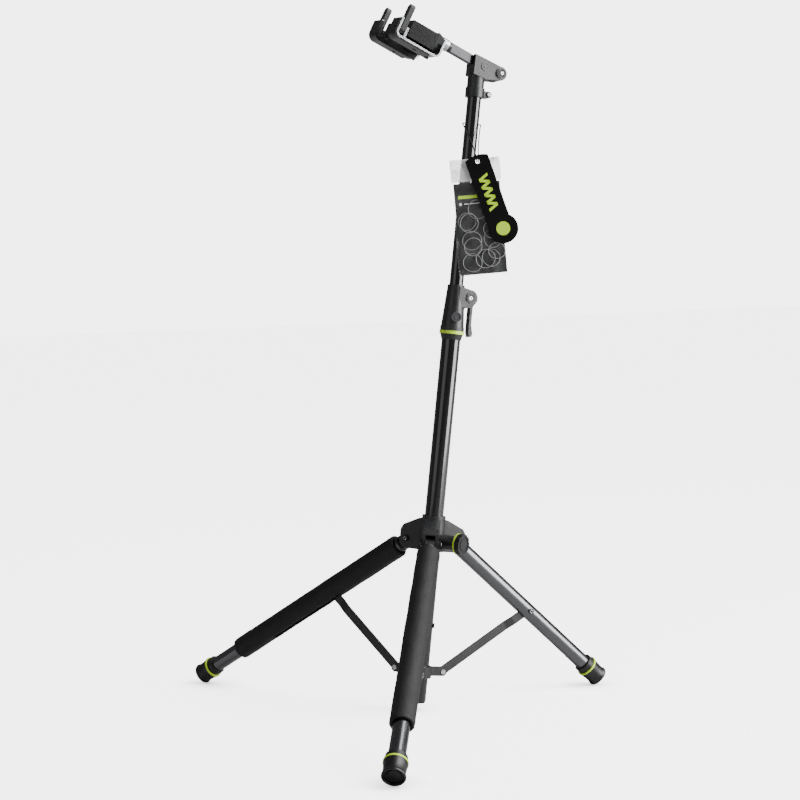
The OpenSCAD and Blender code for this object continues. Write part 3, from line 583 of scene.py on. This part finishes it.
looks["bag_film"] = film_look("bag_film", 0.015, 0.07, (0.88, 0.89, 0.9))
milky_film = film_look("milky_film", 0.38, 0.85, (0.90, 0.90, 0.91))


def film_bag():
    """A sealed pocket that swells over the rings, with a creased flat header above its zip line."""
    columns, rows = 54, 120
    verts, faces = [], []
    pocket_top = BAG_H / 2 - HEADER_H
    for layer in (0, 1):
        for j in range(rows + 1):
            b = -BAG_H / 2 + BAG_H * j / rows
            for i in range(columns + 1):
                a = -BAG_W / 2 + BAG_W * i / columns
                edge = min(BAG_W / 2 - abs(a), b + BAG_H / 2)
                seal = min(1, max(0, (edge - 1.5) / 5))
                neck = min(1, max(0, (pocket_top - b) / 6))
                swell = math.sin(seal * math.pi / 2) * math.sin(neck * math.pi / 2)
                spot = Vector((a, b * 0.6, layer * 31))
                crease = noise.noise(spot * 0.09) * 0.6 + abs(noise.noise(spot * 0.21)) * 0.5
                if layer:
                    n = BAG_DEEP / 2 + 0.15 + swell * (BAG_DEEP / 2 + 0.6) + 0.35 * crease * (1 - swell)
                    for line in (pocket_top + 3, pocket_top + 5.4):
                        n += 0.35 * math.exp(-((b - line) / 0.55) ** 2)
                else:
                    n = BAG_DEEP / 2 - 0.15 - swell * (BAG_DEEP / 2 - 0.3)
                    n += 0.35 * crease * (1 - swell) * (b > 0)
                if b > pocket_top:
                    n += 1.1 * noise.noise(Vector((a * 0.045, b * 0.06, 3))) + 0.5 * noise.noise(
                        Vector((a * 0.12 + b * 0.1, b * 0.05, 9)))
                verts.append(bag.at(a, b, n))
    row = columns + 1
    back = row * (rows + 1)
    for j in range(rows):
        for i in range(columns):
            k = j * row + i
            faces.append((k, k + 1, k + row + 1, k + row))
            faces.append((back + k, back + k + row, back + k + row + 1, back + k + 1))
    rim = [*range(row), *[j * row + columns for j in range(1, rows + 1)],
           *[rows * row + i for i in range(columns - 1, -1, -1)], *[j * row for j in range(rows - 1, 0, -1)]]
    for k, a in enumerate(rim):
        b = rim[(k + 1) % len(rim)]
        faces.append((a, b, back + b, back + a))
    piece = mesh_piece("ring_bag_film", verts, faces)
    cutter = lathe("cutter", tag.at(0, 0, -12), FACE, [(0, 0), (0.0034, 0), (0.0034, 0.03), (0, 0.03)], 32)
    modifier(piece, "BOOLEAN", operation="DIFFERENCE", object=cutter, solver="EXACT")
    applied(piece)
    bpy.data.objects.remove(cutter)
    paint(piece, looks["bag_film"])
    piece.data.materials.append(milky_film)
    for face in piece.data.polygons:
        face.use_smooth = True
        pocket = (face.center - bag.origin).dot(bag.b) < pocket_top * MM
        face.material_index = 0 if pocket and abs(face.normal.dot(bag.n)) > 0.5 else 1
    return piece


film = film_bag()
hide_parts("ring_bag")
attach(film, "upper")

INSERT_LOW, INSERT_HIGH = 0.55, 1.1
MARK_LOW, MARK_HIGH = 1.08, 1.16


def unbent(_):
    """The bag's card doesn't bend."""
    return 0


card_top = BAG_H / 2 - HEADER_H - 2
card_outline = [(-37, -BAG_H / 2 + 2), (37, -BAG_H / 2 + 2), (37, card_top), (-37, card_top)]
insert_look = material("bag_card", (0.008, 0.008, 0.009), 0.5, grain=1300, bump=0.15, vary=0.2, specks=0.1)
insert = card("bag_insert", bag, card_outline, INSERT_LOW, INSERT_HIGH, unbent, rows=12)
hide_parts("bag_card")
finish_card(insert, insert_look)
for name, outline, look in (("insert_band", bar(-31, 33, 6, 33, 5), lime_print),
                            ("insert_dot", oval(-28, 22, 2.4, 2.4), white_print),
                            ("insert_line", bar(-22, 22, 2, 22, 1.6), white_print)):
    finish_card(card(name, bag, outline, MARK_LOW, MARK_HIGH, unbent, rows=2), look)


RING_LEAN = 0.06


def spare_ring(index, a, b, radius, lift):
    """One rubber ring, slightly out of round, as it lies on the card or leans on the ring below it."""
    steps, around, wire = 72, 12, 0.66
    verts, faces = [], []
    for i in range(steps):
        angle = 2 * math.pi * i / steps
        bent = radius + 0.35 * math.sin(2 * angle + index) + 0.15 * math.sin(3 * angle + 2 * index)
        for k in range(around):
            turn = 2 * math.pi * k / around
            reach = bent + wire * math.cos(turn)
            n = lift + RING_LEAN * math.sin(angle + index * 1.3) + wire * math.sin(turn)
            verts.append(bag.at(a + reach * math.cos(angle), b + reach * math.sin(angle), n))
    for i in range(steps):
        for k in range(around):
            faces.append((i * around + k, (i + 1) % steps * around + k,
                          (i + 1) % steps * around + (k + 1) % around, i * around + (k + 1) % around))
    piece = mesh_piece(f"spare_ring_{index}", verts, faces)
    if not index:
        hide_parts("spare_rings")
    finish_card(piece, looks["ring_rubber"])


LOWER, UPPER = 1.85, 3.25
RINGS = [(-20, -6, 14, LOWER), (-15, -37, 15, LOWER), (-17, -72, 14.5, LOWER), (13, -66, 14, LOWER),
         (18, -36, 14, LOWER), (-17, -9, 14.5, UPPER), (-14, -47, 14, UPPER), (4, -67, 15, UPPER),
         (23, -56, 13, UPPER), (19, -22, 14, UPPER), (-2, 12, 15, LOWER)]
for index, (a, b, radius, lift) in enumerate(RINGS):
    spare_ring(index, a, b, radius, lift)

# ---------------------------------------------------------------- stage and light
# FLOOR_GLOW is only what the camera sees; SURROUND_LIGHT is what lights the stand
FLOOR_GLOW = 3.6
HORIZON = 4.9
SURROUND_LIGHT = 0.16
# how far the painted contact shadow reaches across the floor's glow
PAINTED_SHADOW_REACH = 0.045


def seen_by_camera(tree, plain, seen):
    """One shader for what the camera sees directly and a plain one for the light it sends to the stand."""
    ray = tree.nodes.new("ShaderNodeLightPath")
    choose = tree.nodes.new("ShaderNodeMixShader")
    tree.links.new(ray.outputs["Is Camera Ray"], choose.inputs[0])
    tree.links.new(plain, choose.inputs[1])
    tree.links.new(seen, choose.inputs[2])
    return choose.outputs[0]


def stage():
    """A plain white floor that runs to the horizon, with a painted contact shadow where ambient occlusion darkens
    its glow near the stand, and a white surround that lights the stand softly.
    """
    bpy.ops.mesh.primitive_plane_add(size=60, location=(0, 0, -0.0005))
    floor = bpy.context.object
    floor.name = "floor"
    white = material("floor", (0.9, 0.9, 0.9), 0.8, grain=60, bump=0.02, vary=0.01, patches=3,
                     Emission_Color=(1, 1, 1, 1), Emission_Strength=FLOOR_GLOW)
    tree = white.node_tree
    # painted shadow: ambient occlusion darkens the floor's glow near the feet and other low parts
    painted_shadow = tree.nodes.new("ShaderNodeAmbientOcclusion")
    painted_shadow.inputs["Distance"].default_value = PAINTED_SHADOW_REACH
    tree.links.new(painted_shadow.outputs["Color"], tree.nodes["Principled BSDF"].inputs["Emission Color"])
    dull = tree.nodes.new("ShaderNodeBsdfDiffuse")
    dull.inputs["Color"].default_value = (0.45, 0.45, 0.45, 1)
    shader = seen_by_camera(tree, dull.outputs[0], tree.nodes["Principled BSDF"].outputs[0])
    tree.links.new(shader, tree.nodes["Material Output"].inputs["Surface"])
    paint(floor, white)
    world = bpy.data.worlds.new("world")
    scene.world = world
    world.use_nodes = True
    tree = world.node_tree
    soft = tree.nodes["Background"]
    soft.inputs["Color"].default_value = (1, 1, 1, 1)
    soft.inputs["Strength"].default_value = SURROUND_LIGHT
    seen = tree.nodes.new("ShaderNodeBackground")
    seen.inputs["Color"].default_value = (1, 1, 1, 1)
    seen.inputs["Strength"].default_value = HORIZON
    shader = seen_by_camera(tree, soft.outputs[0], seen.outputs[0])
    tree.links.new(shader, tree.nodes["World Output"].inputs["Surface"])


def area_light(name, place, target, width, height, power):
    data = bpy.data.lights.new(name, "AREA")
    data.shape, data.size, data.size_y, data.energy = "RECTANGLE", width, height, power
    light = bpy.data.objects.new(name, data)
    scene.collection.objects.link(light)
    light.location = place
    light.rotation_euler = (Vector(target) - Vector(place)).to_track_quat("-Z", "Y").to_euler()


stage()
area_light("key", (1.9, 2.1, 1.1), (0, 0, 0.6), 2.0, 2.6, 210)
area_light("fill", (1.2, -2.9, 1.3), (0, 0, 0.5), 2.2, 1.6, 9)
overhead = bpy.data.lights.new("overhead", "SUN")
overhead.energy, overhead.angle = 3.4, math.radians(30)
overhead_lamp = bpy.data.objects.new("overhead", overhead)
scene.collection.objects.link(overhead_lamp)
overhead_lamp.rotation_euler = (math.radians(-30), math.radians(20), 0)

bpy.context.view_layer.update()
